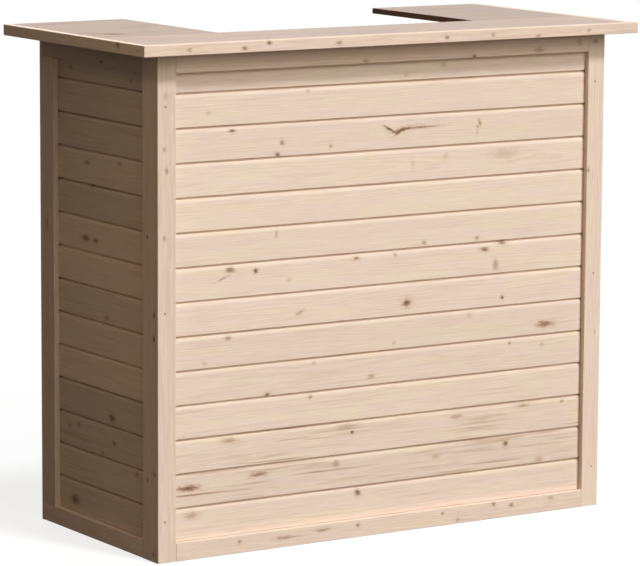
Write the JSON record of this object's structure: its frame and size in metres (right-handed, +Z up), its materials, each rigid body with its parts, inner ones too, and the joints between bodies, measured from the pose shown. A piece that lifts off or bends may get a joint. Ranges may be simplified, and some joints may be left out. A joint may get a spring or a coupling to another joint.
{
  "type": "outdoor garden bar counter",
  "caption": "Waist-high softwood garden bar: horizontal boarded front and sides, flat corner trim, and a thin U-shaped counter open at the back.",
  "frame": {"origin": "on the floor, under the middle of the counter", "axes": "+X to the right along the front wall, +Y from the guest's side to the open back, +Z up"},
  "size_m": [1.264, 0.622, 1.1],
  "materials": {
    "planed_pine": "planed untreated pine trim, eased edges",
    "cladding_pine": "planed untreated pine tongue-and-groove boards with knots",
    "counter_pine": "planed untreated pine board, sanded flat",
    "sawn_pine": "rough sawn pine batten"
  },
  "bodies": {
    "root": {"front_left_corner_board": "planed_pine", "front_right_corner_board": "planed_pine", "front_top_rail": "planed_pine", "front_bottom_rail": "planed_pine", "front_cladding": "cladding_pine", "left_front_stile": "planed_pine", "left_rear_stile": "planed_pine", "left_rear_end_board": "planed_pine", "left_top_rail": "planed_pine", "left_bottom_rail": "planed_pine", "left_cladding": "cladding_pine", "right_front_stile": "planed_pine", "right_rear_stile": "planed_pine", "right_rear_end_board": "planed_pine", "right_top_rail": "planed_pine", "right_bottom_rail": "planed_pine", "right_cladding": "cladding_pine", "front_left_post": "sawn_pine", "front_right_post": "sawn_pine", "rear_left_post": "sawn_pine", "rear_right_post": "sawn_pine", "front_middle_stud": "sawn_pine", "front_top_bearer": "sawn_pine", "front_bottom_bearer": "sawn_pine", "left_top_bearer": "sawn_pine", "left_bottom_bearer": "sawn_pine", "right_top_bearer": "sawn_pine", "right_bottom_bearer": "sawn_pine", "counter_front_panel": "counter_pine", "counter_left_wing": "counter_pine", "counter_right_wing": "counter_pine", "counter_front_fascia": "planed_pine", "counter_left_fascia": "planed_pine", "counter_right_fascia": "planed_pine"}
  },
  "joints": []
}
